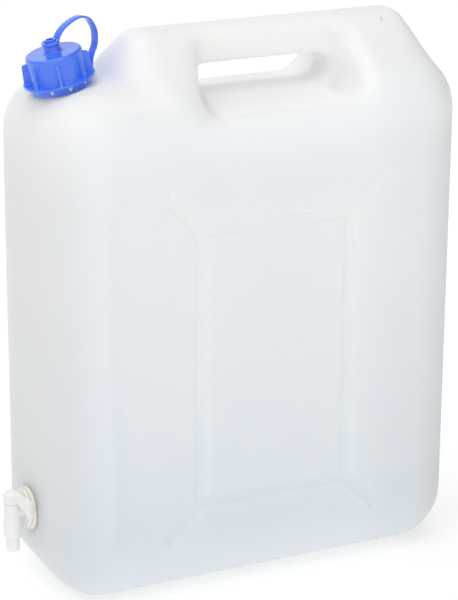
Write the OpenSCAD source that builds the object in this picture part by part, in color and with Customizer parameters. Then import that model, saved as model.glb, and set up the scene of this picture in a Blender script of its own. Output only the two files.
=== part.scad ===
// Water carboy of about 20 litres: a blown can with a moulded handle, a screw cap on a
// strap, and a small turning tap near its foot.
// X runs along the broad faces, Y from front to back and Z up. The can rests on Z = 0 with
// the middle of its base at the origin. The neck and the tap are at the -X end.

/* [Can] */
// Height of the can to the top of the handle bar
can_height = 450; // [420:1:520]
// Width of the can along its broad faces
can_width = 356; // [340:1:400]
// Depth of the can from one broad face to the other
can_depth = 156; // [146:1:190]
// Thickness of the blown wall
wall = 2; // [1.4:0.1:3]
// Radius of the rounded edges round the foot
foot_r = 46; // [36:1:52]
// Radius of the rounded edges round the shoulder
shoulder_r = 47; // [40:1:52]
// Drop from the top of the handle to the start of the shoulder at the neck end
neck_shoulder_drop = 80; // [72:1:95]
// Drop from the top of the handle to the start of the shoulder at the far end
far_shoulder_drop = 75; // [68:1:90]

/* [Roof] */
// Radius of the rounded crown along the top
crown_r = 16; // [12:0.5:20]
// Depth of the crown from front to back
crown_depth = 43; // [40:1:56]
// Distance of the crown's near end from the can's neck end
crown_near_inset = 81; // [76:1:95]
// Distance of the crown's far end from the can's far end
crown_far_inset = 27; // [20:1:40]
// Radius of the edges where the roof rises from the shoulder beside the neck
roof_foot_r = 46; // [38:1:48]

/* [Hand opening] */
// Width of the throat under the handle bar, along the can
throat_width = 113; // [90:1:120]
// Distance of the throat's middle from the can's middle, away from the neck
throat_shift = 20.5; // [10:0.5:26]
// Radius of the throat's rounded corners
throat_r = 11.4; // [6:0.2:11.4]
// Thickness of the handle bar from front to back
bar_depth = 32; // [28:1:38]
// Height of the handle bar
bar_height = 30; // [24:1:32]
// Radius of the handle bar's lower edges
bar_edge_r = 9; // [5:0.5:12]
// Drop from the top of the handle to the floor of the throat
ridge_drop = 53; // [53:0.5:62]
// Fall of the floor from the throat to the opening's edge in each face
floor_fall = 5.5; // [2:0.5:10]
// Flare of the opening towards each face at the neck's side
near_flare = 18; // [8:1:24]
// Flare of the opening towards each face at the far side
far_flare = 14.5; // [6:0.5:18]
// Radius of the opening's lower corners in each face
rim_corner_r = 17; // [12:1:24]

/* [Panel grooves] */
// Height of the frame groove's lower run above the base
frame_bottom = 80; // [66:1:110]
// Drop from the top of the handle to the frame groove's upper run
frame_drop = 144; // [130:1:170]
// Width of the frame between the middles of its upright grooves
frame_width = 130; // [100:1:160]
// Distance of the frame's middle from the can's middle, away from the neck
frame_shift = 5; // [-10:1:15]
// Reach of each slanting arm along the can, and the same up or down
arm_reach = 27; // [15:1:32]
// Width of the grooves
groove_w = 11; // [8:0.5:14]
// Depth of the grooves
groove_depth = 2.5; // [1.5:0.1:4]

/* [Neck] */
// Distance of the neck's foot from the can's end
neck_inset = 34; // [33:0.5:40]
// Drop from the shoulder's top to the middle of the neck's seat
neck_drop = 5.8; // [4:0.2:9]
// Lean of the neck away from the handle, in degrees
neck_tilt = 13; // [5:0.5:18]
// Outside diameter of the neck
neck_d = 37; // [34:0.5:38]
// Thickness of the neck's wall
neck_wall = 2.5; // [2:0.1:3.5]
// Height of the neck above its seat
neck_h = 24.5; // [20:0.5:28]
// Diameter of the flat seat round the neck
seat_d = 64; // [60:1:66]
// Diameter of the boss under the neck
boss_d = 51; // [49:1:54]
// Depth of the boss below the seat
boss_h = 16; // [12:0.5:18]
// How much wider the boss is at its foot, on each side
boss_flare = 8; // [5:0.5:10]
// Height of the ring on the neck that keeps the strap's collar down
bead_h = 1.2; // [0.8:0.1:1.4]

/* [Cap] */
// Outside diameter of the cap's skirt between its ribs
skirt_d = 44; // [43:0.5:48]
// Diameter of the flange round the cap's lower edge
flange_d = 56; // [54:0.5:60]
// Thickness of the cap's wall
cap_wall = 2; // [1.6:0.1:2.4]
// Thickness of the cap's roof
cap_roof_h = 2.4; // [2:0.1:3]
// Thickness of the cap's flange
flange_h = 2; // [1.5:0.1:3]
// Number of grip ribs on the cap
rib_count = 8; // [6:1:12]
// Distance of the ribs' tops below the cap's top face
rib_drop = 5; // [3:0.5:8]
// Turn of the first rib away from the handle, in degrees
rib_turn = 28; // [0:1:45]
// Thickness of a grip rib
rib_w = 3.4; // [1.6:0.1:4]
// Thickness of the sealing disc in the cap
liner_h = 1.8; // [1.2:0.1:2.4]
// Diameter of the knob on the cap
knob_d = 12; // [10.5:0.5:14]
// Height of the knob up to the seat of the strap's eye
knob_h = 5.6; // [4:0.2:8]
// Diameter of the pin that the strap's eye turns on
eye_pin_d = 8; // [6:0.2:9]

/* [Strap] */
// Outside diameter of the collar under the cap
collar_d = 48; // [44:0.5:49]
// Height of the collar
collar_h = 4.6; // [3.6:0.1:5]
// Number of notches in the collar's upper edge
notch_count = 10; // [6:1:14]
// Width of a notch
notch_w = 4.4; // [3:0.1:6]
// Depth of a notch
notch_depth = 2.4; // [1.5:0.1:2.8]
// Turn of the first notch away from the handle, in degrees
notch_turn = 16; // [0:1:36]
// Turn of the strap's plane away from the handle towards the back, in degrees
strap_turn = 16; // [0:1:30]
// Width of the strap
strap_w = 7; // [5:0.5:9]
// Thickness of the strap
strap_t = 1.6; // [1.2:0.1:2.2]
// Outside diameter of the strap's eye
eye_d = 14; // [13:0.5:18]
// Thickness of the strap's eye
eye_h = 2.6; // [2:0.1:3.5]

/* [Tap] */
// Height of the tap's stem above the base
tap_h = 68; // [66:0.5:90]
// Distance of the tap's barrel from the can's end
tap_reach = 15; // [15:0.5:22]
// Diameter of the hole in the can's end
tap_hole_d = 21.6; // [20:0.1:23]
// Outside diameter of the soft washer outside the can
washer_d = 35; // [32:0.5:38]
// Thickness of the soft washer
washer_h = 3; // [2:0.1:3.5]
// Diameter of the tap's own flange
tap_flange_d = 31.5; // [28:0.5:32]
// Thickness of the tap's own flange
tap_flange_h = 2.5; // [2:0.1:3]
// Length of the threaded shank inside the can's end
shank_in = 14; // [12:0.5:20]
// Diameter of the stem between flange and barrel
stem_d = 12.4; // [11:0.2:12.8]
// Outside diameter of the barrel's lower part
barrel_d = 14.6; // [14:0.1:17]
// Outside diameter of the barrel's upper part
barrel_top_d = 13; // [12.6:0.1:14]
// Distance of the barrel's step below the stem's axis
barrel_step = 6.5; // [6.3:0.1:9]
// Height of the barrel above the stem's axis
barrel_up = 7; // [6.8:0.1:9]
// Depth of the barrel below the stem's axis
barrel_down = 23; // [18:0.5:28]
// Outside diameter of the outlet
outlet_d = 11.4; // [11:0.2:13]
// Bore of the outlet
outlet_bore = 8; // [7:0.2:8.6]
// Length of the outlet below the barrel
outlet_h = 11; // [8:0.5:18]
// Diameter of the turning plug
plug_d = 9.6; // [9:0.1:10]
// Length of the plug below the stem's axis
plug_down = 11.5; // [8:0.5:13]
// Bore of the plug and its side port
port_d = 5.6; // [4.6:0.2:6]
// Diameter of the plug's hub
hub_d = 13.8; // [13.4:0.1:15]
// Height of the plug's hub above the barrel
hub_h = 10; // [9:0.2:14]
// Number of fine flutes round the hub
flute_count = 24; // [12:1:30]
// Radius of a flute
flute_r = 0.45; // [0.3:0.05:0.6]
// Reach of the lever from the barrel's axis
lever_reach = 23.5; // [20:0.5:26]
// Width of the lever's thumb plate
thumb_w = 5; // [4:0.5:8]
// Thickness of the lever's web
web_t = 2.2; // [1.6:0.1:3]
// Distance of the web's lower outer end below the hub
lever_drop = 6.4; // [4:0.2:7]
// Thickness of the nut inside the can
nut_h = 8; // [6:0.5:9]
// Width of the nut across its flats
nut_flats = 30; // [28:0.5:34]

/* [Fits] */
// Gap between pieces that move past each other
run_gap = 0.3; // [0.2:0.05:0.4]
// Gap between the strap's collar and the cap above it
cap_gap = 1.1; // [0.6:0.1:2]
// Gap round the tap's plug
plug_gap = 0.1; // [0.05:0.01:0.1]

/* [Hidden] */
$fn = 96;
ball_fn = 32;
eps = 0.01;

natural = [0.90, 0.93, 0.94, 0.75];
cap_blue = [0.25, 0.45, 0.95];
tap_white = [0.95, 0.95, 0.95];
seal_cream = [0.90, 0.85, 0.72];

neck_shoulder_z = can_height - neck_shoulder_drop;
far_shoulder_z = can_height - far_shoulder_drop;
crown_z = can_height - crown_r;
crown_near_x = -can_width / 2 + crown_near_inset + crown_r;
crown_far_x = can_width / 2 - crown_far_inset - crown_r;
roof_step = 0.3;

frame_top_z = can_height - frame_drop;
frame_mid_z = (frame_top_z + frame_bottom) / 2;
frame_half_h = (frame_top_z - frame_bottom) / 2;

ridge_z = can_height - ridge_drop;
bar_z = can_height - bar_height;
over_top = 30;
near_span = 43;
far_span = 18;
floor_span = 44;
corner_steps = 6;
half_bar_y = bar_depth / 2;
far_depths = [for (past = [4, 8, 13, 18, 26, 34, 44, 90]) half_bar_y + past];
grip_depths = concat([for (i = [len(far_depths) - 1 : -1 : 0]) -far_depths[i]],
                     [-half_bar_y, half_bar_y], far_depths);

neck_x = -can_width / 2 + neck_inset;
neck_z = neck_shoulder_z + shoulder_r - neck_drop;
neck_r = neck_d / 2;
bead_r = neck_r + 1;

collar_z = run_gap;
cap_z = collar_z + collar_h + cap_gap;
liner_z = neck_h;
cap_roof_z = liner_z + liner_h;
cap_top_z = cap_roof_z + cap_roof_h;
skirt_r = skirt_d / 2;
cap_bore_r = skirt_r - cap_wall;
flange_r = flange_d / 2;
rib_top_z = cap_top_z - rib_drop;

eye_z = cap_top_z + knob_h + run_gap;
eye_top_z = eye_z + eye_h;
lip_z = eye_top_z + run_gap;

shank_d = tap_hole_d - 2 * run_gap;
hub_z = barrel_up + run_gap;
lever_turn = -70;
o_ring_r = 0.62;
o_ring_z = barrel_up - 2.4;
thumb_t = 2;
panel_rim = 1.4;
panel_depth = 0.5;
dome_r = 4.6;

// A ball whose widest points lie exactly on its radius along each axis
module ball(r) {
    rotate_extrude($fn = ball_fn) intersection() {
        circle(r, $fn = ball_fn);
        translate([0, -r]) square([r, 2 * r]);
    }
}

// Two balls of one radius, in front and behind at one place along x
module ball_pair(x, y, z, r) {
    for (side = [-1, 1]) translate([x, side * y, z]) ball(r);
}

// The can up to its shoulder; inset moves its whole skin inwards
module lower_form(inset) {
    half_w = can_width / 2;
    half_d = can_depth / 2;
    hull() {
        ball_pair(-half_w + foot_r, half_d - foot_r, foot_r, foot_r - inset);
        ball_pair(half_w - foot_r, half_d - foot_r, foot_r, foot_r - inset);
        ball_pair(-half_w + shoulder_r, half_d - shoulder_r, neck_shoulder_z, shoulder_r - inset);
        ball_pair(half_w - shoulder_r, half_d - shoulder_r, far_shoulder_z, shoulder_r - inset);
    }
}

// The hipped roof that carries the handle, from the shoulder to the crown
module roof_form(inset) {
    half_d = can_depth / 2;
    foot_ball = roof_foot_r - roof_step - inset;
    hull() {
        ball_pair(crown_near_x, crown_depth / 2 - crown_r, crown_z, crown_r - inset);
        ball_pair(crown_far_x, crown_depth / 2 - crown_r, crown_z, crown_r - inset);
        ball_pair(crown_near_x, half_d - shoulder_r, far_shoulder_z, foot_ball);
        ball_pair(can_width / 2 - shoulder_r, half_d - shoulder_r, far_shoulder_z, foot_ball);
    }
}

module on_neck() {
    translate([neck_x, 0, neck_z]) rotate([0, -neck_tilt, 0]) children();
}

// The flared boss that fills the rounded shoulder under the neck's seat
module neck_boss(inset) {
    on_neck() translate([0, 0, -boss_h])
        cylinder(h = boss_h - inset, r1 = boss_d / 2 + boss_flare - inset, r2 = boss_d / 2 - inset);
}

// What is cleared above the neck's flat seat
module seat_clearance(inset) {
    on_neck() translate([0, 0, -inset]) cylinder(h = 40, d = seat_d + 2 * inset);
}

// How far a flare has gone at a distance past the bar: a quick start and a soft end
function eased(past, span) = let (q = min(max(past / span, 0), 1)) 1 - (1 - q) * (1 - q);
function even(past, span) = min(max(past / span, 0), 1);

// Outline of the hand opening at one depth, open at the top, with rounded lower corners
function grip_outline(y, grow) =
    let (past = abs(y) - bar_depth / 2,
         left = throat_shift - throat_width / 2 - near_flare * even(past, near_span) - grow,
         right = throat_shift + throat_width / 2 + far_flare * eased(past, far_span) + grow,
         floor_z = ridge_z - floor_fall * eased(past, floor_span) - grow,
         r = throat_r + (rim_corner_r - throat_r) * even(past, near_span) + grow)
    concat([for (i = [0 : corner_steps]) let (a = 180 + 90 * i / corner_steps)
                [left + r + r * cos(a), y, floor_z + r + r * sin(a)]],
           [for (i = [0 : corner_steps]) let (a = 270 + 90 * i / corner_steps)
                [right - r + r * cos(a), y, floor_z + r + r * sin(a)]],
           [[right, y, can_height + over_top], [left, y, can_height + over_top]]);

// The flaring block that the hand opening removes, before the handle bar is put back
module grip_block(grow) {
    outlines = [for (y = grip_depths) grip_outline(y, grow)];
    points = [for (o = outlines, p = o) p];
    n = len(outlines[0]);
    last = len(grip_depths) - 1;
    polyhedron(points, concat(
        [[for (i = [n - 1 : -1 : 0]) i], [for (i = [0 : n - 1]) last * n + i]],
        [for (k = [0 : last - 1], i = [0 : n - 1]) let (j = (i + 1) % n)
            [k * n + i, k * n + j, (k + 1) * n + j]],
        [for (k = [0 : last - 1], i = [0 : n - 1]) let (j = (i + 1) % n)
            [k * n + i, (k + 1) * n + j, (k + 1) * n + i]]));
}

// End section of the handle bar, flat on top where the roof closes it
module bar_section(grow) {
    edge_r = bar_edge_r - grow;
    half_bar = bar_depth / 2 - grow;
    tall = bar_height + over_top + 5;
    translate([-half_bar, bar_z + bar_edge_r]) square([2 * half_bar, tall]);
    translate([-half_bar + edge_r, bar_z + grow]) square([2 * (half_bar - edge_r), tall]);
    for (side = [-1, 1]) translate([side * (half_bar - edge_r), bar_z + bar_edge_r]) circle(edge_r);
}

// Rounded corners between the handle bar and the two ends of the throat
module throat_fillets(grow) {
    for (side = [-1, 1]) translate([throat_shift, 0, bar_z]) rotate([90, 0, 0])
        linear_extrude(bar_depth - 2 * grow, center = true) scale([side, 1]) difference() {
            translate([throat_width / 2 - throat_r, -throat_r]) square(throat_r + grow + 1);
            translate([throat_width / 2 - throat_r, -throat_r]) circle(throat_r + grow);
        }
}

module hand_opening(grow) {
    difference() {
        grip_block(grow);
        rotate([90, 0, 90]) linear_extrude(can_width, center = true) bar_section(grow);
        throat_fillets(grow);
    }
}

// A frame of grooves with a slanting arm at each corner, drawn flat
module frame_drawing(grow) {
    w = groove_w + 2 * grow;
    half_w = frame_width / 2;
    difference() {
        square([2 * half_w + w, 2 * frame_half_h + w], center = true);
        square([2 * half_w - w, 2 * frame_half_h - w], center = true);
    }
    for (sx = [-1, 1], sz = [-1, 1]) translate([sx * half_w, sz * frame_half_h])
        scale([sx, sz]) rotate(45) polygon(concat([[0, -w / 2]], [for (a = [-90 : 15 : 90])
            [arm_reach * sqrt(2) + w / 2 * cos(a), w / 2 * sin(a)]], [[0, w / 2]]));
}

// The grooves in both broad faces
module panel_grooves(grow) {
    deep = groove_depth + grow;
    for (side = [-1, 1])
        translate([frame_shift, side * (can_depth / 2 - deep / 2 + 1), frame_mid_z])
            rotate([90, 0, 0]) linear_extrude(deep + 2, center = true) frame_drawing(grow);
}

// The can's skin, moved inwards by inset
module can_form(inset) {
    difference() {
        union() {
            lower_form(inset);
            roof_form(inset);
            neck_boss(inset);
        }
        seat_clearance(inset);
        hand_opening(inset);
        panel_grooves(inset);
    }
}

module carboy() {
    color(natural) difference() {
        union() {
            difference() {
                can_form(0);
                can_form(wall);
            }
            on_neck() translate([0, 0, -wall]) cylinder(h = neck_h + wall, r = neck_r);
            on_neck() translate([0, 0, collar_z + collar_h + run_gap])
                cylinder(h = bead_h, r = bead_r);
        }
        on_neck() translate([0, 0, -boss_h]) cylinder(h = boss_h + neck_h + 1, r = neck_r - neck_wall);
        translate([-can_width / 2 - 1, 0, tap_h]) rotate([0, 90, 0])
            cylinder(h = 12, d = tap_hole_d);
    }
}

// One upright grip rib, from the skirt out to just inside the flange
module grip_rib() {
    inner = skirt_r - 1;
    rotate([90, 0, 0]) linear_extrude(rib_w, center = true)
        polygon([[inner, cap_z + flange_h - 0.5], [flange_r - 1, cap_z + flange_h - 0.5],
                 [flange_r - 2.4, rib_top_z - 1.2], [flange_r - 3.6, rib_top_z],
                 [inner, rib_top_z]]);
}

// Half section of the cap with its flange, skirt, roof, knob and pin
module cap_section() {
    edge = 1.6;
    knob_r = knob_d / 2;
    pin_r = eye_pin_d / 2;
    lip_r = pin_r + 0.8;
    polygon([[cap_bore_r, cap_z], [flange_r, cap_z], [flange_r, cap_z + flange_h],
             [skirt_r, cap_z + flange_h], [skirt_r, cap_top_z - edge], [skirt_r - edge, cap_top_z],
             [knob_r + 2.4, cap_top_z], [knob_r + 0.6, cap_top_z + 1], [knob_r, cap_top_z + 2.6],
             [knob_r, cap_top_z + knob_h], [pin_r, cap_top_z + knob_h], [pin_r, lip_z],
             [lip_r, lip_z], [pin_r, lip_z + 1], [0, lip_z + 1], [0, cap_roof_z],
             [cap_bore_r, cap_roof_z]]);
}

module screw_cap() {
    color(cap_blue) on_neck() difference() {
        union() {
            rotate_extrude() cap_section();
            for (i = [0 : rib_count - 1]) rotate(rib_turn + i * 360 / rib_count) grip_rib();
        }
        translate([0, 0, eye_z]) cylinder(h = eye_h + 3, r = eye_pin_d / 2 - 1.5);
    }
}

module cap_liner() {
    color(seal_cream) on_neck() translate([0, 0, liner_z])
        cylinder(h = liner_h, r = cap_bore_r - run_gap);
}

// A V notch through the collar's rim, at zero degrees
module collar_notch() {
    translate([collar_d / 2 - 3, 0, collar_z + collar_h]) rotate([90, 0, 90])
        linear_extrude(6) polygon([[-notch_w / 2, eps], [0, -notch_depth], [notch_w / 2, eps]]);
}

module strap_collar() {
    color(cap_blue) on_neck() difference() {
        translate([0, 0, collar_z]) cylinder(h = collar_h, d = collar_d);
        translate([0, 0, collar_z - 1]) cylinder(h = collar_h + 2, r = neck_r + run_gap);
        for (i = [0 : notch_count - 1]) rotate(notch_turn + i * 360 / notch_count) collar_notch();
    }
}

// Middle line of the strap, from the collar up and over to the eye, in the plane through
// the neck's axis: distance from the axis and height above the seat
strap_rise = eye_z - cap_z;
strap_route = [[collar_d / 2 - 2, collar_z + collar_h / 2], [collar_d / 2 + 2.6, collar_z + collar_h / 2],
               [flange_r + 2.6, cap_z + 0.3], [flange_r + 3.6, cap_z + 0.13 * strap_rise],
               [flange_r + 6.9, cap_z + 0.315 * strap_rise], [flange_r + 10.6, cap_z + 0.458 * strap_rise],
               [flange_r + 12.8, cap_z + 0.65 * strap_rise], [flange_r + 13.8, cap_z + 0.874 * strap_rise],
               [flange_r + 12.4, eye_z + 2.4], [flange_r + 10.1, eye_z + 6.8], [flange_r + 5, eye_z + 10.3],
               [flange_r - 0.8, eye_z + 11.1], [eye_d / 2 + 12.6, eye_z + 10],
               [eye_d / 2 + 5.2, eye_z + 7.4], [eye_d / 2 - 0.8, eye_z + 3.4],
               [eye_d / 2 - 2, eye_z + eye_h / 2]];
strap_steps = 4;

// A point on the smooth curve through four route points
function curve_at(a, b, c, d, t) =
    0.5 * (2 * b + (c - a) * t + (2 * a - 5 * b + 4 * c - d) * t * t + (3 * b - a - 3 * c + d) * t * t * t);
strap_last = len(strap_route) - 1;
strap_line = [for (i = [0 : strap_last - 1], k = [0 : strap_steps - 1])
                  curve_at(strap_route[max(i - 1, 0)], strap_route[i], strap_route[i + 1],
                           strap_route[min(i + 2, strap_last)], k / strap_steps),
              strap_route[strap_last]];
strap_end = len(strap_line) - 1;
function heading(i) = let (d = strap_line[min(i + 1, strap_end)] - strap_line[max(i - 1, 0)]) d / norm(d);
function beside(i, gap) = strap_line[i] + gap * [-heading(i)[1], heading(i)[0]];

module strap_band() {
    outline = concat([for (i = [0 : strap_end]) beside(i, strap_t / 2)],
                     [for (i = [strap_end : -1 : 0]) beside(i, -strap_t / 2)]);
    color(cap_blue) on_neck() rotate(strap_turn) difference() {
        rotate([90, 0, 0]) linear_extrude(strap_w, center = true) polygon(outline);
        cylinder(h = cap_z, d = collar_d);
        translate([0, 0, eye_z - 1]) cylinder(h = eye_h + 2, d = eye_d + run_gap);
    }
}

module strap_eye() {
    color(cap_blue) on_neck() translate([0, 0, eye_z]) difference() {
        cylinder(h = eye_h, d = eye_d);
        translate([0, 0, -1]) cylinder(h = eye_h + 2, r = eye_pin_d / 2 + run_gap);
    }
}

// Places what follows on the tap's axis: +X runs into the can from its end
module on_tap() {
    translate([-can_width / 2, 0, tap_h]) children();
}

module along_x(x, length, d) {
    translate([x, 0, 0]) rotate([0, 90, 0]) cylinder(h = length, d = d);
}

module tap_washer() {
    color(seal_cream) on_tap() difference() {
        along_x(-washer_h, washer_h, washer_d);
        along_x(-washer_h - 1, washer_h + 2, tap_hole_d);
    }
}

module tap_nut() {
    color(tap_white) on_tap() difference() {
        translate([wall, 0, 0]) rotate([0, 90, 0])
            cylinder(h = nut_h, d = nut_flats / cos(30), $fn = 6);
        along_x(0, wall + nut_h + 1, tap_hole_d);
    }
}

module tap_body() {
    barrel_bore = plug_d + 2 * plug_gap;
    flange_x = -washer_h - tap_flange_h;
    edge = 1;
    color(tap_white) on_tap() difference() {
        union() {
            along_x(-washer_h - eps, washer_h + shank_in + eps, shank_d);
            along_x(flange_x, tap_flange_h, tap_flange_d);
            along_x(-tap_reach, tap_reach - washer_h, stem_d);
            translate([-tap_reach, 0, -barrel_down]) {
                cylinder(h = barrel_down + barrel_up, d = barrel_top_d);
                cylinder(h = edge, d1 = barrel_d - 2 * edge, d2 = barrel_d);
                translate([0, 0, edge]) cylinder(h = barrel_down - barrel_step - edge, d = barrel_d);
                translate([0, 0, barrel_down - barrel_step])
                    cylinder(h = edge, d1 = barrel_d, d2 = barrel_top_d);
                translate([0, 0, -outlet_h]) cylinder(h = outlet_h + edge, d = outlet_d);
            }
        }
        along_x(-tap_reach, tap_reach + shank_in + 1, port_d);
        along_x(-washer_h, washer_h + shank_in + 1, shank_d - 6);
        translate([-tap_reach, 0, -plug_down - run_gap])
            cylinder(h = plug_down + run_gap + barrel_up + 1, d = barrel_bore);
        translate([-tap_reach, 0, -barrel_down - outlet_h - 1])
            cylinder(h = barrel_down + outlet_h, d = outlet_bore);
    }
}

// Outline of the lever's web, seen from its side; inset pulls its outer edges in
module web_outline(inset) {
    root = hub_d / 2;
    tip = lever_reach - thumb_t / 2 - inset;
    top = hub_z + hub_h - inset;
    low = hub_z + inset;
    polygon([[root - 3 + inset, low + 1], [root + 1.5, low + 0.6], [tip, low - lever_drop + inset],
             [tip, top - 3], [tip - 3, top - 1.4], [root + 3, top - 0.3], [root - 3 + inset, top - 0.5]]);
}

// The lever: a web with a shallow panel in each side, and an upright thumb plate at its end
module lever() {
    rotate([90, 0, 0]) difference() {
        linear_extrude(web_t, center = true) web_outline(0);
        for (side = [-1, 1]) translate([0, 0, side * web_t / 2])
            linear_extrude(2 * panel_depth, center = true) intersection() {
                web_outline(panel_rim);
                translate([hub_d / 2 + panel_rim, -lever_reach]) square(2 * lever_reach);
            }
    }
    translate([lever_reach - thumb_t, -thumb_w / 2, hub_z - lever_drop - 0.4])
        cube([thumb_t, thumb_w, hub_h + lever_drop - 2.2]);
}

// The plug's hub: a domed cap with fine upright flutes round its side
module plug_hub() {
    hub_r = hub_d / 2;
    difference() {
        rotate_extrude() {
            square([hub_r, hub_h - dome_r]);
            square([hub_r - dome_r, hub_h]);
            translate([hub_r - dome_r, hub_h - dome_r]) intersection() {
                circle(dome_r);
                square(dome_r);
            }
        }
        for (i = [0 : flute_count - 1]) rotate(i * 360 / flute_count)
            translate([hub_r + 0.1, 0, 0.8]) cylinder(h = hub_h, r = flute_r, $fn = 16);
    }
}

module tap_plug() {
    color(tap_white) on_tap() translate([-tap_reach, 0, 0]) difference() {
        union() {
            translate([0, 0, -plug_down]) cylinder(h = plug_down + hub_z + 1, d = plug_d);
            translate([0, 0, hub_z]) plug_hub();
            rotate(lever_turn) lever();
        }
        translate([0, 0, -plug_down - 1]) cylinder(h = plug_down + 1 + port_d / 2 - 0.4, d = port_d);
        rotate([-90, 0, 0]) cylinder(h = plug_d, d = port_d);
        translate([0, 0, o_ring_z]) rotate_extrude()
            translate([plug_d / 2 - 2.4 * o_ring_r, -1.2 * o_ring_r]) square([3 * o_ring_r, 2.4 * o_ring_r]);
    }
}

module plug_o_ring() {
    color("dimgray") on_tap() translate([-tap_reach, 0, o_ring_z]) rotate_extrude()
        translate([plug_d / 2 - o_ring_r - 0.1, 0]) circle(o_ring_r);
}

carboy();
screw_cap();
cap_liner();
strap_collar();
strap_band();
strap_eye();
tap_body();
tap_plug();
plug_o_ring();
tap_washer();
tap_nut();
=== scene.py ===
import math

import bmesh
import bpy
import numpy as np
from mathutils import Matrix, Vector


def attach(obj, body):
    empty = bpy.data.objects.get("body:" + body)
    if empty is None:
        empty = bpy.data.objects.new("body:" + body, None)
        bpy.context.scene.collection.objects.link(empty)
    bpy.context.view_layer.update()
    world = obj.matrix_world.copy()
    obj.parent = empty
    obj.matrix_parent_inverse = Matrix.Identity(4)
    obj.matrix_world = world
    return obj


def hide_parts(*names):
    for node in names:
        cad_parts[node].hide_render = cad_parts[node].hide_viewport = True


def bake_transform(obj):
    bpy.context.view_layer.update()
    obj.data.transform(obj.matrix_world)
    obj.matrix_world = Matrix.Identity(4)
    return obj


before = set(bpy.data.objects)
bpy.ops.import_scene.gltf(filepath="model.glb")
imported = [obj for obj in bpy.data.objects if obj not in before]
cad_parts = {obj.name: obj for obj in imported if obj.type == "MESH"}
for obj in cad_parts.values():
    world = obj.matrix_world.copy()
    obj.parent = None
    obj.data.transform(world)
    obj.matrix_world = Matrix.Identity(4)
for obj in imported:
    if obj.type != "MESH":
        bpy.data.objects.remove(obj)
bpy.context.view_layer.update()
scene = bpy.context.scene


# Camera. It stands where the photograph's outlines put it: a little above the can, in front
# and towards its neck end, with a long lens and a slight roll.
camera_spot = (-0.7727, -1.5912, 0.8223)
turn, drop, roll = math.radians(25.88), math.radians(18.84), math.radians(0.36)
lens_mm, film_mm, sight = 137.54, 36, 50
ahead = Vector((math.sin(turn) * math.cos(drop), math.cos(turn) * math.cos(drop), -math.sin(drop)))
across = Vector((math.cos(turn), -math.sin(turn), 0))
upward = across.cross(ahead)
right = across * math.cos(roll) + upward * math.sin(roll)
upright = upward * math.cos(roll) - across * math.sin(roll)
camera = bpy.data.objects.new("camera", bpy.data.cameras.new("camera"))
camera.data.lens = lens_mm
camera.data.sensor_width = film_mm
camera.data.clip_end = sight
camera.matrix_world = Matrix.Translation(camera_spot) @ Matrix((right, upright, -ahead)).transposed().to_4x4()
scene.collection.objects.link(camera)
scene.camera = camera


# Light. A white room, brightest before, behind and above the can and darker past its ends, and
# one very soft lamp for a studio's overhead panels. The pale floor is lit and glows enough to
# fade into the background.
room_base = 0.01
room_gains = (("X", 1, -0.09), ("Y", 2, 1.10), ("Z", 2, 0.40))
lamp_strength, lamp_spread, lamp_heading = 1.45, math.radians(75), Vector((0.30, 0.14, -0.94))
floor_reach, floor_shade, floor_roughness, floor_glow = 9, 0.62, 0.9, 0.48


def reckoned(tree, operation, *terms):
    """The result of a Math node whose terms are sockets or numbers."""
    node = tree.nodes.new("ShaderNodeMath")
    node.operation = operation
    for place, term in zip(node.inputs, terms):
        if isinstance(term, (int, float)):
            place.default_value = term
        else:
            tree.links.new(term, place)
    return node.outputs["Value"]


world = bpy.data.worlds.new("room")
world.use_nodes = True
room = world.node_tree
looking, parts = room.nodes.new("ShaderNodeTexCoord"), room.nodes.new("ShaderNodeSeparateXYZ")
room.links.new(looking.outputs["Generated"], parts.inputs["Vector"])
brightness = room_base
for axis, power, gain in room_gains:
    raised = reckoned(room, "POWER", parts.outputs[axis], power)
    brightness = reckoned(room, "MULTIPLY_ADD", raised, gain, brightness)
room.nodes["Background"].inputs["Color"].default_value = (1, 1, 1, 1)
room.links.new(brightness, room.nodes["Background"].inputs["Strength"])
scene.world = world
scene.view_settings.view_transform = "Standard"

lamp = bpy.data.objects.new("key", bpy.data.lights.new("key", "SUN"))
lamp.data.energy = lamp_strength
lamp.data.angle = lamp_spread
lamp.rotation_euler = lamp_heading.to_track_quat("-Z", "Y").to_euler()
scene.collection.objects.link(lamp)

floor_bm = bmesh.new()
bmesh.ops.create_grid(floor_bm, x_segments=1, y_segments=1, size=floor_reach)
floor_mesh = bpy.data.meshes.new("floor")
floor_bm.to_mesh(floor_mesh)
floor_bm.free()
floor = bpy.data.objects.new("floor", floor_mesh)
floor_paint = bpy.data.materials.new("floor")
floor_paint.use_nodes = True
floor_shader = floor_paint.node_tree.nodes["Principled BSDF"]
floor_shader.inputs["Base Color"].default_value = (floor_shade, floor_shade, floor_shade, 1)
floor_shader.inputs["Roughness"].default_value = floor_roughness
floor_shader.inputs["Emission Color"].default_value = (1, 1, 1, 1)
floor_shader.inputs["Emission Strength"].default_value = floor_glow
floor_mesh.materials.append(floor_paint)
scene.collection.objects.link(floor)


# Can. The body of the carboy: one hollow shell of natural polyethylene, blown in a split mould
# with its handle bar, its scoops, its neck and its frame of grooves. It stands on its own foot,
# and every edge is as soft as blowing leaves it.
can_h, can_half_x, can_half_y = 0.450, 0.178, 0.078
can_voxel, skin_rounds, rim_rounds = 0.0026, 6, 13
foot_r, shoulder_r, eaves_r, crown_r = 0.046, 0.047, 0.0457, 0.016
neck_end_z, far_end_z = 0.370, 0.375
crown_left, crown_right, crown_half_y = -0.081, 0.135, 0.0055


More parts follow.
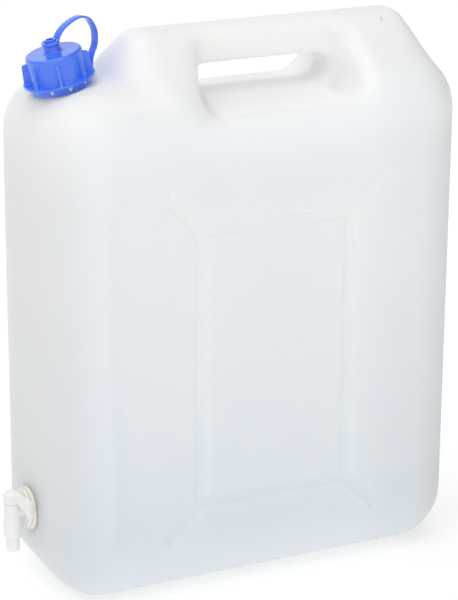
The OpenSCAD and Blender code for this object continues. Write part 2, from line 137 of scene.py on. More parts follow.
def hull_of_balls(balls):
    """A closed skin stretched over pairs of balls, one of each pair on either side."""
    bm = bmesh.new()
    for x, y, z, r in balls:
        for side in (-1, 1):
            bmesh.ops.create_uvsphere(bm, u_segments=48, v_segments=24, radius=r,
                                      matrix=Matrix.Translation((x, side * y, z)))
    bmesh.ops.delete(bm, geom=bm.edges[:] + bm.faces[:], context="EDGES_FACES")
    bmesh.ops.convex_hull(bm, input=bm.verts)
    bmesh.ops.delete(bm, geom=[v for v in bm.verts if not v.link_faces], context="VERTS")
    return bm


def new_object(name, bm):
    """An object in the scene, made from a bmesh whose faces are first turned outwards."""
    mesh = bpy.data.meshes.new(name)
    bmesh.ops.recalc_face_normals(bm, faces=bm.faces)
    bm.to_mesh(mesh)
    bm.free()
    obj = bpy.data.objects.new(name, mesh)
    scene.collection.objects.link(obj)
    return obj


def applied(obj):
    """Turns an object's modifiers into plain mesh."""
    mesh = bpy.data.meshes.new_from_object(obj.evaluated_get(bpy.context.evaluated_depsgraph_get()))
    obj.modifiers.clear()
    obj.data = mesh


def cut(obj, tool):
    change = obj.modifiers.new("cut", "BOOLEAN")
    change.operation = "DIFFERENCE"
    change.solver = "EXACT"
    change.object = tool
    applied(obj)


def slab(bm, outline, depth, axis="Y"):
    """Adds an outline, drawn in x and z for axis Y or in y and z for axis X, drawn out both ways."""
    if axis == "Y":
        ring, shift = [bm.verts.new((a, -depth, b)) for a, b in outline], (0, 2 * depth, 0)
    else:
        ring, shift = [bm.verts.new((-depth, a, b)) for a, b in outline], (2 * depth, 0, 0)
    far = bmesh.ops.extrude_face_region(bm, geom=[bm.faces.new(ring)], use_keep_orig=True)
    new = [v for v in far["geom"] if isinstance(v, bmesh.types.BMVert)]
    bmesh.ops.translate(bm, verts=new, vec=shift)
    return ring + new


def prism(name, outline, depth, axis):
    bm = bmesh.new()
    slab(bm, outline, depth, axis)
    return new_object(name, bm)


def arc(middle_a, middle_b, r, start, end, steps=12):
    """Points of an arc round a middle, from one angle to another, in degrees."""
    angles = [math.radians(start + (end - start) * i / steps) for i in range(steps + 1)]
    return [(middle_a + r * math.cos(a), middle_b + r * math.sin(a)) for a in angles]


# The hand opening is a narrow throat under the bar that flares towards both faces. Its far
# scoop reaches lower and further than the near one.
bar_low, bar_half, bar_round, bar_reach, over = 0.420, 0.016, 0.009, 0.150, 0.030
grip_left, grip_right, grip_floor, grip_round = -0.0378, 0.079, 0.3970, 0.0140
left_flare, left_flare_depth, round_growth = 0.0168, 0.043, 0.0040
near_flare, far_flare, right_flare_depth = 0.0085, 0.0145, 0.022
near_fall, far_fall, fall_depth = 0.0060, 0.0095, 0.044
grip_depths = [0.016, 0.018, 0.020, 0.022, 0.024, 0.027, 0.030, 0.034, 0.038, 0.043, 0.050, 0.060, 0.106]


def grip_outline(y):
    """Outline of the hand opening at one depth."""
    past = abs(y) - bar_half
    even = min(max(past / left_flare_depth, 0), 1)
    wide = 1 - (1 - min(max(past / right_flare_depth, 0), 1)) ** 2
    deep = 1 - (1 - min(max(past / fall_depth, 0), 1)) ** 2
    left = grip_left - left_flare * even
    right_x = grip_right + (near_flare if y < 0 else far_flare) * wide
    low = grip_floor - (near_fall if y < 0 else far_fall) * deep
    r = grip_round + round_growth * even
    return (arc(left + r, low + r, r, 180, 270) + arc(right_x - r, low + r, r, 270, 360)
            + [(right_x, can_h + over), (left, can_h + over)])


grip_bm = bmesh.new()
loops = []
for y in [-depth for depth in reversed(grip_depths)] + grip_depths:
    ring = [grip_bm.verts.new((x, y, z)) for x, z in grip_outline(y)]
    loops.append([grip_bm.edges.new((ring[i - 1], ring[i])) for i in range(len(ring))])
for near_loop, far_loop in zip(loops, loops[1:]):
    bmesh.ops.bridge_loops(grip_bm, edges=near_loop + far_loop)
bmesh.ops.holes_fill(grip_bm, edges=[e for e in grip_bm.edges if e.is_boundary], sides=0)
bmesh.ops.triangulate(grip_bm, faces=grip_bm.faces)
grip = new_object("grip", grip_bm)
bar = prism("bar", arc(bar_half - bar_round, bar_low + bar_round, bar_round, 0, -90)
            + arc(-bar_half + bar_round, bar_low + bar_round, bar_round, 270, 180)
            + [(-bar_half, can_h + 2 * over), (bar_half, can_h + 2 * over)], bar_reach, "X")
cut(grip, bar)
web_width, web_sunk = 0.013, 0.001
for end_x, side, corner in ((grip_left, -1, 0.0040), (grip_right, 1, 0.0080)):
    middle = end_x - side * corner
    web = prism("web", arc(middle, bar_low - corner, corner, 90, 90 - side * 90)
                + [(middle + side * web_width, bar_low - corner),
                   (middle + side * web_width, bar_low + web_sunk), (middle, bar_low + web_sunk)],
                bar_half, "Y")
    cut(grip, web)
    bpy.data.objects.remove(web)

# The neck leans out of a flat round seat on the shoulder, on a short swelling.
neck_foot = Vector((-0.144, 0, 0.4112))
neck_place = Matrix.Translation(neck_foot) @ Matrix.Rotation(math.radians(-13), 4, "Y")
seat_r, seat_h = 0.032, 0.06
boss_foot_r, boss_top_r, boss_h = 0.0335, 0.0255, 0.016
seat_bm = bmesh.new()
bmesh.ops.create_cone(seat_bm, cap_ends=True, segments=96, radius1=seat_r, radius2=seat_r, depth=seat_h,
                      matrix=neck_place @ Matrix.Translation((0, 0, seat_h / 2)))
seat = new_object("seat", seat_bm)
boss_bm = bmesh.new()
bmesh.ops.create_cone(boss_bm, cap_ends=True, segments=96, radius1=boss_foot_r, radius2=boss_top_r,
                      depth=boss_h, matrix=neck_place @ Matrix.Translation((0, 0, -boss_h / 2)))

lower_balls = [(side * (can_half_x - foot_r), can_half_y - foot_r, foot_r, foot_r) for side in (-1, 1)]
lower_balls += [(side * (can_half_x - shoulder_r), can_half_y - shoulder_r, z, shoulder_r)
                for side, z in ((-1, neck_end_z), (1, far_end_z))]
roof_balls = [(x, crown_half_y, can_h - crown_r, crown_r) for x in (crown_left, crown_right)]
roof_balls += [(x, can_half_y - shoulder_r, far_end_z, eaves_r)
               for x in (crown_left, can_half_x - shoulder_r)]
shells = []
for balls in (lower_balls, roof_balls):
    shell = new_object("shell", hull_of_balls(balls))
    cut(shell, grip)
    cut(shell, seat)
    shells.append(shell)
shells.append(new_object("boss", boss_bm))

can_bm = bmesh.new()
for shell in shells:
    can_bm.from_mesh(shell.data)
can = new_object("can_shell", can_bm)
remesh = can.modifiers.new("remesh", "REMESH")
remesh.mode = "VOXEL"
remesh.voxel_size = can_voxel
remesh.use_smooth_shade = True
smooth = can.modifiers.new("smooth", "SMOOTH")
smooth.factor = 0.5
smooth.iterations = skin_rounds
applied(can)
for spare in shells + [seat, grip, bar]:
    bpy.data.objects.remove(spare)

# A soft ledge runs down the far side of the hand opening, and a rounder lip down the near side.
# Both are pressed square to the roof's slope before the rims are smoothed.
slope_y, slope_z = 0.60, 0.80
slope_least, slope_full = 0.55, 0.90
ledge_depth, lip_depth = 0.0050, 0.0040
ledge_x, ledge_lean, ledge_lean_y, ledge_least_x = (0.1000, 0.0860), 0.10, 0.045, 0.070
ledge_y, ledge_z = (0.017, 0.026), (0.388, 0.400)
lip_width, lip_past, lip_most_x = 0.0105, 0.001, -0.030
lip_y, lip_z = (0.012, 0.024), (0.384, 0.398)
rim_x, rim_least_z, bar_skin_y, bar_skin_z = (-0.072, 0.108), 0.380, 0.0215, 0.4185


def ramp(values, start, end):
    """Rises softly from 0 to 1 as the values go from start to end."""
    t = np.clip((values - start) / (end - start), 0, 1)
    return t * t * (3 - 2 * t)


def per_point(mesh, measure):
    """One measure of every vertex of a mesh, its co or its normal, as rows of three."""
    flat = np.empty(3 * len(mesh.vertices))
    mesh.vertices.foreach_get(measure, flat)
    return flat.reshape(-1, 3)


spots, facing = per_point(can.data, "co"), per_point(can.data, "normal")
off_face = np.abs(spots[:, 1])
on_slope = np.abs(facing[:, 1]) * slope_y + facing[:, 2] * slope_z
on_slope = np.clip((on_slope - slope_least) / (slope_full - slope_least), 0, 1)
ledge_start = ledge_x[0] - ledge_lean * np.maximum(off_face - ledge_lean_y, 0)
ledge = ramp(spots[:, 0], ledge_start, ledge_x[1]) * (spots[:, 0] > ledge_least_x)
ledge *= ramp(off_face, *ledge_y) * ramp(spots[:, 2], *ledge_z) * (spots[:, 1] < 0) * ledge_depth
wall_x = grip_left - left_flare * np.clip((off_face - bar_half) / left_flare_depth, 0, 1)
lip = ramp(spots[:, 0], wall_x - lip_width, wall_x + lip_past) * (spots[:, 0] < lip_most_x)
lip *= ramp(off_face, *lip_y) * ramp(spots[:, 2], *lip_z) * lip_depth
pressed = np.maximum(ledge, lip) * on_slope
spots[:, 1] -= np.sign(spots[:, 1]) * pressed * slope_y
spots[:, 2] -= pressed * slope_z
can.data.vertices.foreach_set("co", spots.ravel())

in_rim = (spots[:, 2] > rim_least_z) & (spots[:, 0] > rim_x[0]) & (spots[:, 0] < rim_x[1])
in_rim &= ~((np.abs(spots[:, 1]) < bar_skin_y) & (spots[:, 2] > bar_skin_z))
rim_zone = can.vertex_groups.new(name="rim")
rim_zone.add([int(i) for i in np.flatnonzero(in_rim)], 1.0, "REPLACE")
soften = can.modifiers.new("soften", "SMOOTH")
soften.factor = 0.5
soften.iterations = rim_rounds
soften.vertex_group = "rim"
applied(can)

# Each broad face has a frame of grooves with an arm at every corner, and is dished a little,
# most steeply beside the neck end's corners.
frame_x, frame_z, frame_half_w, frame_half_h, frame_arm = 0.005, 0.193, 0.065, 0.113, 0.027
groove_half, groove_side, groove_depth, groove_skin = 0.0060, 0.0024, 0.0019, 0.0090
broad_y, face_y, face_blend = 0.070, 0.068, 0.006
dish_depth, dish_left, dish_right = 0.0032, (-0.144, -0.124), (0.172, 0.110)
dish_top, dish_foot = (0.385, 0.345), (0.030, 0.075)
groove_painted_light = 0.48
runs = []
for sx in (-1, 1):
    runs.append((sx * frame_half_w, -frame_half_h, sx * frame_half_w, frame_half_h))
    runs.append((-frame_half_w, sx * frame_half_h, frame_half_w, sx * frame_half_h))
    for sz in (-1, 1):
        runs.append((sx * frame_half_w, sz * frame_half_h,
                     sx * (frame_half_w + frame_arm), sz * (frame_half_h + frame_arm)))


def off_grooves(points):
    """Distance in the face's plane from each point to the nearest groove's middle line."""
    x, z = points[:, 0] - frame_x, points[:, 2] - frame_z
    near = np.full(len(points), 1.0)
    for ax, az, bx, bz in runs:
        length2 = (bx - ax) ** 2 + (bz - az) ** 2
        along = np.clip(((x - ax) * (bx - ax) + (z - az) * (bz - az)) / length2, 0, 1)
        near = np.minimum(near, np.hypot(x - ax - along * (bx - ax), z - az - along * (bz - az)))
    return near


skin_spots = per_point(can.data, "co")
by_groove = (off_grooves(skin_spots) < groove_skin) & (np.abs(skin_spots[:, 1]) > broad_y)
can_bm = bmesh.new()
can_bm.from_mesh(can.data)
near_edges = [e for e in can_bm.edges if by_groove[e.verts[0].index] and by_groove[e.verts[1].index]]
bmesh.ops.subdivide_edges(can_bm, edges=near_edges, cuts=1, use_grid_fill=True)
can_bm.to_mesh(can.data)
can_bm.free()
place = per_point(can.data, "co")
groove = np.clip((groove_half - off_grooves(place)) / groove_side, 0, 1)
dish = ramp(place[:, 0], *dish_left) * ramp(place[:, 0], *dish_right)
dish *= ramp(place[:, 2], *dish_top) * ramp(place[:, 2], *dish_foot)
on_face = np.clip((np.abs(place[:, 1]) - face_y) / face_blend, 0, 1)
place[:, 1] -= np.sign(place[:, 1]) * on_face * (groove * groove_depth + dish * dish_depth)
can.data.vertices.foreach_set("co", place.ravel())
# The grooves get a mark that paints them lighter: painted light against their shade.
groove_light_mark = can.data.attributes.new("groove", "FLOAT", "POINT")
groove_light_mark.data.foreach_set("value", (groove_painted_light * groove * on_face).astype(np.float32))

# The natural plastic is milky: neutral at the ends and roof, a little bluer on the broad faces.
# Shade is painted into its colour: it is painted greyer low down and towards both ends. Light
# is painted in too: inside the hand opening, on the shoulder behind the cap and in the grooves
# it is painted lighter. One brown speck sits on the roof.
face_tones = [(0.985, 0.985, 0.963), (0.957, 0.980, 0.993)]
low_shade_tones = [(0.825, 0.863, 0.895), (0.915, 0.935, 0.955), (0.975, 0.978, 0.985), (1, 1, 1)]
cloud_tones = [(0.975, 0.982, 0.990), (1, 1, 1)]
far_end_shade_tones = [(1, 1, 1), (0.95, 0.945, 0.94), (0.81, 0.805, 0.80)]
neck_end_shade_tones = [(1, 1, 1), (0.915, 0.915, 0.920)]
painted_light_tones = [(0.919, 0.919, 0.919), (1, 1, 1)]
speck_tones = [(0.74, 0.50, 0.38), (1, 1, 1)]
face_fade, low_shade_fade, cloud_fade, speck_fade = (0.045, 0.078), (0.02, 0.42), (0.3, 0.7), (0.4, 1.3)
far_end_shade_fade, far_shade_roof_fade = (0.085, 0.178), (0.420, 0.360)
neck_end_shade_fade, neck_shade_roof_fade = (-0.125, -0.165), (0.410, 0.330)
# Zones painted lighter, as painted light: inside the hand opening and on the shoulder behind the cap.
hand_middle_x, hand_painted_light = 0.020, 0.82
hand_end_fade, hand_side_fade = (0.084, 0.070), (0.070, 0.058)
hand_low_fade, hand_high_fade = (0.380, 0.390), (0.432, 0.418)
cap_left_fade, cap_right_fade, cap_low_fade = (-0.140, -0.125), (-0.072, -0.090), (0.400, 0.412)
cloud_scale, cloud_detail = 9, 3
speck_spot, speck_size = (0.1242, -0.0178, 0.4443), (0.0006, 0.0024, 0.0030)
can_roughness, can_ior, can_glow_depth, can_tinge = 0.45, 1.45, 0.030, (0.9, 1.0, 1.1)
grain_scale, grain_strength, grain_height = 900, 0.05, 0.0002
plastic = bpy.data.materials.new("natural_plastic")
plastic.use_nodes = True
tree = plastic.node_tree
skin = tree.nodes["Principled BSDF"]


def colour_ramp(source, start, end, colours):
    """Evenly spaced colours over a stretch of one measure."""
    span = tree.nodes.new("ShaderNodeMapRange")
    span.inputs["From Min"].default_value, span.inputs["From Max"].default_value = start, end
    shades = tree.nodes.new("ShaderNodeValToRGB")
    while len(shades.color_ramp.elements) < len(colours):
        shades.color_ramp.elements.new(0.5)
    for i, colour in enumerate(colours):
        shades.color_ramp.elements[i].position = i / (len(colours) - 1)
        shades.color_ramp.elements[i].color = (*colour, 1)
    tree.links.new(source, span.inputs["Value"])
    tree.links.new(span.outputs["Result"], shades.inputs["Fac"])
    return shades.outputs["Color"]


def multiplied(first, *others):
    """The product of several colours."""
    for other in others:
        both = tree.nodes.new("ShaderNodeVectorMath")
        both.operation = "MULTIPLY"
        tree.links.new(first, both.inputs[0])
        tree.links.new(other, both.inputs[1])
        first = both.outputs["Vector"]
    return first


def zone(limits):
    """How far a point is inside a zone, from 0 to 1: each measure fades in from one value to another."""
    inside = 1.0
    for source, start, end in limits:
        edge = tree.nodes.new("ShaderNodeMapRange")
        edge.inputs["From Min"].default_value, edge.inputs["From Max"].default_value = start, end
        tree.links.new(source, edge.inputs["Value"])
        inside = reckoned(tree, "MULTIPLY", edge.outputs["Result"], inside)
    return inside


where = tree.nodes.new("ShaderNodeTexCoord")
axes = tree.nodes.new("ShaderNodeSeparateXYZ")
tree.links.new(where.outputs["Object"], axes.inputs["Vector"])
at_x, at_y, at_z = (axes.outputs[name] for name in "XYZ")
off_middle = reckoned(tree, "ABSOLUTE", at_y)
off_hand = reckoned(tree, "ABSOLUTE", reckoned(tree, "SUBTRACT", at_x, hand_middle_x))
cloud = tree.nodes.new("ShaderNodeTexNoise")
cloud.inputs["Scale"].default_value = cloud_scale
cloud.inputs["Detail"].default_value = cloud_detail
tree.links.new(where.outputs["Object"], cloud.inputs["Vector"])
by_face = colour_ramp(off_middle, *face_fade, face_tones)
# Painted shade: the colour is darker towards the bottom of the can.
painted_low_shade = colour_ramp(at_z, *low_shade_fade, low_shade_tones)
by_cloud = colour_ramp(cloud.outputs["Fac"], *cloud_fade, cloud_tones)
# Painted shade: the colour is darker towards the far end, below the roof.
painted_far_end_shade = colour_ramp(zone([(at_x, *far_end_shade_fade), (at_z, *far_shade_roof_fade)]), 0, 1, far_end_shade_tones)
# Painted shade: the colour is darker towards the neck end, below the roof.
painted_neck_end_shade = colour_ramp(zone([(at_x, *neck_end_shade_fade), (at_z, *neck_shade_roof_fade)]), 0, 1, neck_end_shade_tones)
# Painted light: a zone inside the hand opening that is painted lighter.
hand_lit_zone = zone([(off_hand, *hand_end_fade), (at_z, *hand_low_fade), (at_z, *hand_high_fade),
                (off_middle, *hand_side_fade)])
# Painted light: the shoulder behind the cap is painted lighter, against the cap's shade.
cap_shoulder_lit_zone = zone([(at_x, *cap_left_fade), (at_x, *cap_right_fade), (at_z, *cap_low_fade)])
# Painted light: the grooves' mark paints them lighter.
groove_light_node = tree.nodes.new("ShaderNodeAttribute")
groove_light_node.attribute_name = "groove"
# All the painted light is gathered here. Outside it the colour is a little darker.
painted_light_amount = reckoned(tree, "MAXIMUM", reckoned(tree, "MULTIPLY", hand_lit_zone, hand_painted_light), cap_shoulder_lit_zone)
painted_light_amount = reckoned(tree, "MAXIMUM", painted_light_amount, groove_light_node.outputs["Fac"])
by_painted_light = colour_ramp(painted_light_amount, 0, 1, painted_light_tones)

from_speck = tree.nodes.new("ShaderNodeVectorMath")
from_speck.operation = "SUBTRACT"
from_speck.inputs[1].default_value = speck_spot
narrowed = tree.nodes.new("ShaderNodeVectorMath")
narrowed.operation = "DIVIDE"
narrowed.inputs[1].default_value = speck_size
off_speck = tree.nodes.new("ShaderNodeVectorMath")
off_speck.operation = "LENGTH"
tree.links.new(where.outputs["Object"], from_speck.inputs[0])
tree.links.new(from_speck.outputs["Vector"], narrowed.inputs[0])
tree.links.new(narrowed.outputs["Vector"], off_speck.inputs[0])
by_speck = colour_ramp(off_speck.outputs["Value"], *speck_fade, speck_tones)
# The plastic's own milky tone, times the painted shade and the painted light.
milky_with_painted_shade_and_light = multiplied(by_face, painted_low_shade, by_cloud, painted_far_end_shade, painted_neck_end_shade, by_painted_light, by_speck)
tree.links.new(milky_with_painted_shade_and_light, skin.inputs["Base Color"])

grain = tree.nodes.new("ShaderNodeTexNoise")
grain.inputs["Scale"].default_value = grain_scale
bump = tree.nodes.new("ShaderNodeBump")
bump.inputs["Strength"].default_value = grain_strength
bump.inputs["Distance"].default_value = grain_height
tree.links.new(where.outputs["Object"], grain.inputs["Vector"])
tree.links.new(grain.outputs["Fac"], bump.inputs["Height"])
tree.links.new(bump.outputs["Normal"], skin.inputs["Normal"])
skin.inputs["Roughness"].default_value = can_roughness
skin.inputs["Subsurface Weight"].default_value = 1.0
skin.inputs["Subsurface Radius"].default_value = can_tinge
skin.inputs["Subsurface Scale"].default_value = can_glow_depth
skin.inputs["IOR"].default_value = can_ior
can.data.materials.clear()
can.data.materials.append(plastic)
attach(can, "can")
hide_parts("carboy")


# Neck. A short tube on the can's shoulder, blown in one with it from the same polyethylene. It
# has a ring at its foot that the strap's collar turns on, a bead that keeps the collar down,
# and two turns of coarse thread for the cap.
bore_r, neck_r, ring_r, bead_r = 0.0160, 0.0185, 0.0235, 0.0192
neck_root, neck_top, neck_lip, neck_chamfer = -0.0140, 0.0245, 0.0005, 0.0007
ring_foot, ring_low, ring_top, ring_edge, ring_slope = 0.0004, 0.0006, 0.0049, 0.0003, 0.0004
bead_low, bead_high, bead_slope = 0.0055, 0.0061, 0.0003
thread_root_r, thread_crest_r, thread_low, thread_high = 0.0183, 0.0194, 0.0070, 0.0100
thread_flank, thread_pitch, thread_turns, turn_steps = 0.0009, 0.006, 2, 96
neck_glow_depth = 0.002


def turned(bm, profile, steps=96):
    """Spins a half section, drawn as radius and height, once round the neck's axis."""
    line = [bm.verts.new((r, 0, h)) for r, h in profile]
    edges = [bm.edges.new((line[i - 1], line[i])) for i in range(len(line))]
    bmesh.ops.spin(bm, geom=line + edges, axis=(0, 0, 1), angle=2 * math.pi, steps=steps, use_merge=True)
    bmesh.ops.remove_doubles(bm, verts=bm.verts, dist=0.00001)
    bmesh.ops.delete(bm, geom=[e for e in bm.edges if not e.link_faces], context="EDGES")


neck_bm = bmesh.new()
ring_line = [(neck_r, ring_foot), (ring_r - ring_edge, ring_low), (ring_r, ring_low + ring_slope),
             (ring_r, ring_top - ring_slope), (ring_r - ring_edge, ring_top)]
bead_line = [(neck_r + bead_slope, bead_low - ring_slope), (bead_r, bead_low), (bead_r, bead_high),
             (neck_r, bead_high + bead_slope)]
mouth_line = [(neck_r, neck_top - neck_chamfer), (neck_r - neck_lip, neck_top), (bore_r + neck_lip, neck_top),
              (bore_r, neck_top - neck_lip)]
turned(neck_bm, [(bore_r, neck_root), (neck_r, neck_root)] + ring_line + bead_line + mouth_line)
thread_bm = bmesh.new()
ridge_line = ((thread_root_r, thread_low), (thread_crest_r, thread_low + thread_flank),
              (thread_crest_r, thread_high - thread_flank), (thread_root_r, thread_high))
ridge = [thread_bm.verts.new((r, 0, h)) for r, h in ridge_line]
ridge_edges = [thread_bm.edges.new((ridge[i - 1], ridge[i])) for i in range(len(ridge))]
bmesh.ops.spin(thread_bm, geom=ridge + ridge_edges, axis=(0, 0, 1), angle=2 * math.pi * thread_turns,
               steps=thread_turns * turn_steps, dvec=(0, 0, thread_pitch / turn_steps))
bmesh.ops.holes_fill(thread_bm, edges=[e for e in thread_bm.edges if e.is_boundary], sides=4)
bmesh.ops.recalc_face_normals(thread_bm, faces=thread_bm.faces)
thread_mesh = bpy.data.meshes.new("thread")
thread_bm.to_mesh(thread_mesh)
thread_bm.free()
neck_bm.from_mesh(thread_mesh)
neck_bm.transform(neck_place)
neck = new_object("neck", neck_bm)
neck.modifiers.new("edges", "EDGE_SPLIT").split_angle = math.radians(40)
for face in neck.data.polygons:
    face.use_smooth = True
applied(neck)
# The neck takes a copy of the can's plastic, with its painted shade and painted light.
neck_plastic = plastic.copy()
neck_plastic.name = "neck_plastic"
neck_plastic.node_tree.nodes["Principled BSDF"].inputs["Subsurface Scale"].default_value = neck_glow_depth
neck.data.materials.append(neck_plastic)
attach(neck, "can")


# Screw cap. One glossy blue moulding: a wide flange, a skirt with upright wedge ribs for the
# fingers, a deck with a rounded edge, and a hollow pin on a knob. It screws down on the neck's
# thread, on a cream rubber disc that lies inside it.
flange_r, skirt_r, cap_bore_r = 0.0280, 0.0220, 0.0200
cap_low, flange_top, cap_top, cap_ceiling, deck_round = 0.0060, 0.0080, 0.0287, 0.0263, 0.0019
flange_edge, flange_round, skirt_fillet_r, skirt_fillet_h = 0.0002, 0.0003, 0.0006, 0.0010
knob_foot_r, knob_r, knob_top, knob_flare = 0.0086, 0.0060, 0.0343, [(0.0069, 0.0295), (0.0062, 0.0313)]
pin_r, pin_bore_r, pin_mouth_r, pin_head = 0.0040, 0.0025, 0.0026, [(0.0048, 0.0377), (0.0047, 0.0381)]
pin_floor, pin_neck_top, pin_top = 0.0346, 0.0375, 0.0385
rib_count, rib_turn, rib_half, rib_taper = 8, 28, 0.0017, 0.75
rib_root_r, rib_low_r, rib_high_r, rib_top_r, rib_thin_from_r = 0.0210, 0.0272, 0.0259, 0.0247, 0.024
rib_low, rib_high, rib_top = 0.0075, 0.0222, 0.0237
cap_voxel, cap_rounds = 0.00045, 2


def softened(obj, voxel, rounds):
    """Joins an object's overlapping solids into one skin with softly rounded edges."""
    again = obj.modifiers.new("remesh", "REMESH")
    again.mode = "VOXEL"
    again.voxel_size = voxel
    again.use_smooth_shade = True
    ease = obj.modifiers.new("smooth", "SMOOTH")
    ease.factor = 0.5
    ease.iterations = rounds
    applied(obj)
    obj.data.materials.clear()


def moulded_plastic(name, light_tone, dark_tone, roughness, glow, glow_depth, tinge, grain_size, grain_depth):
    """A moulded plastic: slightly cloudy colour, light that sinks in, and a fine skin texture."""
    paint = bpy.data.materials.new(name)
    paint.use_nodes = True
    nodes, links = paint.node_tree.nodes, paint.node_tree.links
    shader = nodes["Principled BSDF"]
    spot = nodes.new("ShaderNodeTexCoord")
    haze = nodes.new("ShaderNodeTexNoise")
    haze.inputs["Scale"].default_value = 60
    haze.inputs["Detail"].default_value = 3
    tones = nodes.new("ShaderNodeValToRGB")
    tones.color_ramp.elements[0].position, tones.color_ramp.elements[1].position = 0.35, 0.65
    tones.color_ramp.elements[0].color = (*dark_tone, 1)
    tones.color_ramp.elements[1].color = (*light_tone, 1)
    skin_noise = nodes.new("ShaderNodeTexNoise")
    skin_noise.inputs["Scale"].default_value = grain_size
    dent = nodes.new("ShaderNodeBump")
    dent.inputs["Strength"].default_value = 0.25
    dent.inputs["Distance"].default_value = grain_depth
    links.new(spot.outputs["Object"], haze.inputs["Vector"])
    links.new(spot.outputs["Object"], skin_noise.inputs["Vector"])
    links.new(haze.outputs["Fac"], tones.inputs["Fac"])
    links.new(tones.outputs["Color"], shader.inputs["Base Color"])
    links.new(skin_noise.outputs["Fac"], dent.inputs["Height"])
    links.new(dent.outputs["Normal"], shader.inputs["Normal"])
    shader.inputs["Roughness"].default_value = roughness
    shader.inputs["Subsurface Weight"].default_value = glow
    shader.inputs["Subsurface Scale"].default_value = glow_depth
    shader.inputs["Subsurface Radius"].default_value = tinge
    return paint


cap_blue = moulded_plastic("blue_plastic", (0.062, 0.215, 0.97), (0.052, 0.190, 0.93), roughness=0.28,
                           glow=0.10, glow_depth=0.002, tinge=(0.3, 0.6, 1.0), grain_size=700,
                           grain_depth=0.0001)
cap_blue.node_tree.nodes["Principled BSDF"].inputs["Coat Weight"].default_value = 0.6
cap_blue.node_tree.nodes["Principled BSDF"].inputs["Coat Roughness"].default_value = 0.08
cap_bm = bmesh.new()
flange_line = [(cap_bore_r, cap_low), (flange_r - flange_edge, cap_low), (flange_r, cap_low + flange_edge),
               (flange_r, flange_top - flange_round), (flange_r - flange_round, flange_top),
               (skirt_r + skirt_fillet_r, flange_top), (skirt_r, flange_top + skirt_fillet_h)]
deck_line = arc(skirt_r - deck_round, cap_top - deck_round, deck_round, 0, 90, 6)
knob_line = [(knob_foot_r, cap_top)] + knob_flare + [(knob_r, knob_top)]
pin_line = [(pin_r, knob_top), (pin_r, pin_neck_top)] + pin_head
pin_line += [(pin_r, pin_top), (pin_mouth_r, pin_top), (pin_bore_r, pin_floor), (0, pin_floor)]
turned(cap_bm, flange_line + deck_line + knob_line + pin_line + [(0, cap_ceiling), (cap_bore_r, cap_ceiling)])
for i in range(rib_count):
    rib = slab(cap_bm, [(rib_root_r, rib_low), (rib_low_r, rib_low), (rib_high_r, rib_high),
                        (rib_top_r, rib_top), (rib_root_r, rib_top)], rib_half)
    for corner in rib:
        if corner.co.x > rib_thin_from_r:
            corner.co.y *= rib_taper
    rib_angle = math.radians(rib_turn + 360 / rib_count * i)
    bmesh.ops.rotate(cap_bm, verts=rib, matrix=Matrix.Rotation(rib_angle, 3, "Z"))
cap_bm.transform(neck_place)
cap = new_object("cap", cap_bm)
softened(cap, cap_voxel, cap_rounds)
cap.data.materials.append(cap_blue)
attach(cap, "cap")
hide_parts("screw_cap")
cream = moulded_plastic("cream_rubber", (0.93, 0.90, 0.79), (0.90, 0.87, 0.75), roughness=0.55, glow=0.5,
                        glow_depth=0.003, tinge=(1.0, 0.8, 0.5), grain_size=500, grain_depth=0.0001)
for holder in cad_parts["cap_liner"].material_slots:
    holder.material = cream


# Strap. One blue moulding that keeps the cap with the can, in three parts: a notched collar
# that turns on the neck's ring, a thin band that bends when the cap rises, and an eye that is
# snapped over the cap's pin.
collar_in_r, collar_out_r, collar_low, collar_top = 0.0227, 0.0240, 0.0003, 0.0049
collar_edge, collar_round, collar_voxel, collar_rounds = 0.0002, 0.0003, 0.0003, 2
notch_count, notch_turn, notch_half, notch_low, notch_over = 10, 106, 0.0027, 0.0013, 0.0053
notch_r, notch_reach = 0.0235, 0.003
strap_turn, strap_half, strap_thick, strap_round = math.radians(16), 0.0035, 0.0016, 0.00045
collar_bm = bmesh.new()
turned(collar_bm, [(collar_in_r, collar_low), (collar_out_r - collar_edge, collar_low),
                   (collar_out_r, collar_low + collar_edge), (collar_out_r, collar_top - collar_round),
                   (collar_out_r - collar_round, collar_top), (collar_in_r, collar_top)])
collar = new_object("collar", collar_bm)
for i in range(notch_count):
    notch_bm = bmesh.new()
    notch = slab(notch_bm, [(-notch_half, notch_over), (0, notch_low), (notch_half, notch_over)], notch_reach)
    bmesh.ops.translate(notch_bm, verts=notch, vec=(0, -notch_r, 0))
    notch_angle = math.radians(notch_turn + 360 / notch_count * i)
    bmesh.ops.rotate(notch_bm, verts=notch, matrix=Matrix.Rotation(notch_angle, 3, "Z"))
    notch_tool = new_object("notch", notch_bm)
    cut(collar, notch_tool)
    bpy.data.objects.remove(notch_tool)
collar.data.transform(neck_place)
softened(collar, collar_voxel, collar_rounds)
collar.data.materials.append(cap_blue)
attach(collar, "collar")
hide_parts("strap_collar")

route_mm = [(22.0, 2.6), (26.6, 2.6), (30.6, 6.3), (31.6, 9.7), (34.9, 15), (38.6, 19.1), (40.8, 24.6),
            (41.8, 31), (40.4, 37), (38.1, 41.4), (33, 44.9), (27.2, 45.7), (19.6, 44.6), (12.2, 42),
            (7.6, 38.6), (5.6, 36.1)]
route_steps = 6
route = [np.array(spot) / 1000 for spot in route_mm]
middle_line = []
for i in range(len(route) - 1):
    p = [route[max(i - 1, 0)], route[i], route[i + 1], route[min(i + 2, len(route) - 1)]]
    for t in np.arange(0, 1, 1 / route_steps):
        square, cube = 2 * p[0] - 5 * p[1] + 4 * p[2] - p[3], 3 * p[1] - p[0] - 3 * p[2] + p[3]
        middle_line.append(0.5 * (2 * p[1] + (p[2] - p[0]) * t + square * t ** 2 + cube * t ** 3))
middle_line.append(route[-1])
band_bm = bmesh.new()
ends = [band_bm.verts.new((0, y, 0)) for y in (-strap_half, strap_half)]
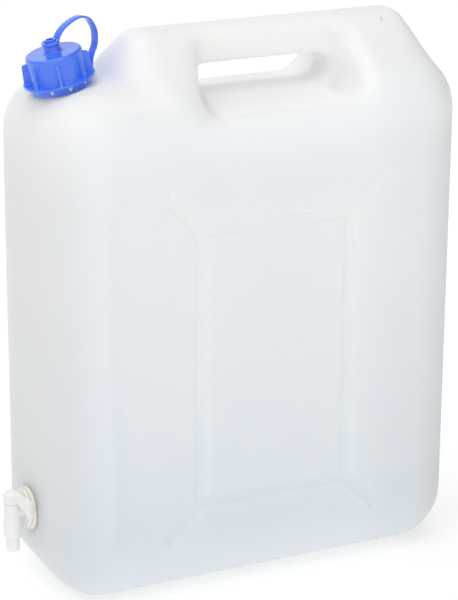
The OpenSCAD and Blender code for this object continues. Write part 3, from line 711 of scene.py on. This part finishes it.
front_edge = band_bm.edges.new(ends)
for i, (away, height) in enumerate(middle_line):
    if i > 0:
        grown = bmesh.ops.extrude_edge_only(band_bm, edges=[front_edge])["geom"]
        front_edge = next(g for g in grown if isinstance(g, bmesh.types.BMEdge))
        ends = sorted(front_edge.verts, key=lambda v: v.co.y)
    ends[0].co, ends[1].co = (away, -strap_half, height), (away, strap_half, height)
bmesh.ops.rotate(band_bm, verts=band_bm.verts, matrix=Matrix.Rotation(strap_turn, 3, "Z"))
band_bm.transform(neck_place)
band = new_object("strap", band_bm)
thicken = band.modifiers.new("thickness", "SOLIDIFY")
thicken.thickness = strap_thick
thicken.offset = 0
ease_edges = band.modifiers.new("edges", "BEVEL")
ease_edges.width = strap_round
ease_edges.segments = 3
ease_edges.limit_method = "ANGLE"
applied(band)
for face in band.data.polygons:
    face.use_smooth = True
band.data.materials.append(cap_blue)
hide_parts("strap_band")
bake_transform(band)


def moulded(node, name, voxel, rounds):
    """A copy of a CAD node's solid with its edges rounded as a mould rounds them."""
    bm = bmesh.new()
    bm.from_mesh(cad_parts[node].data)
    bmesh.ops.remove_doubles(bm, verts=bm.verts, dist=0.000001)
    obj = new_object(name, bm)
    softened(obj, voxel, rounds)
    return obj


eye = moulded("strap_eye", "eye", voxel=0.0003, rounds=2)
eye.data.materials.append(cap_blue)
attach(eye, "eye")
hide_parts("strap_eye")


# Tap. A milky white moulded body with flange, barrel and outlet, and in it a plug with its lever
# that turns on a black seal ring. The body goes through the can's wall from outside, on a soft
# cream washer, and a white nut holds it inside.
milk = moulded_plastic("white_plastic", (0.90, 0.90, 0.885), (0.87, 0.87, 0.855), roughness=0.32, glow=0.5,
                       glow_depth=0.0015, tinge=(1.0, 0.95, 0.85), grain_size=900, grain_depth=0.00005)
body = moulded("tap_body", "spigot", voxel=0.0004, rounds=3)
body.data.materials.append(milk)
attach(body, "can")
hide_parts("tap_body")
plug = moulded("tap_plug", "lever_plug", voxel=0.0003, rounds=2)
plug.data.materials.append(milk)
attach(plug, "plug")
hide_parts("tap_plug")
black = moulded_plastic("black_rubber", (0.03, 0.03, 0.03), (0.02, 0.02, 0.02), roughness=0.5, glow=0.0,
                        glow_depth=0.001, tinge=(1.0, 1.0, 1.0), grain_size=500, grain_depth=0.0001)
washer = moulded("tap_washer", "washer", voxel=0.0005, rounds=3)
washer.data.materials.append(cream)
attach(washer, "can")
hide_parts("tap_washer")
for node, paint in (("tap_nut", milk), ("plug_o_ring", black)):
    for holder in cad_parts[node].material_slots:
        holder.material = paint
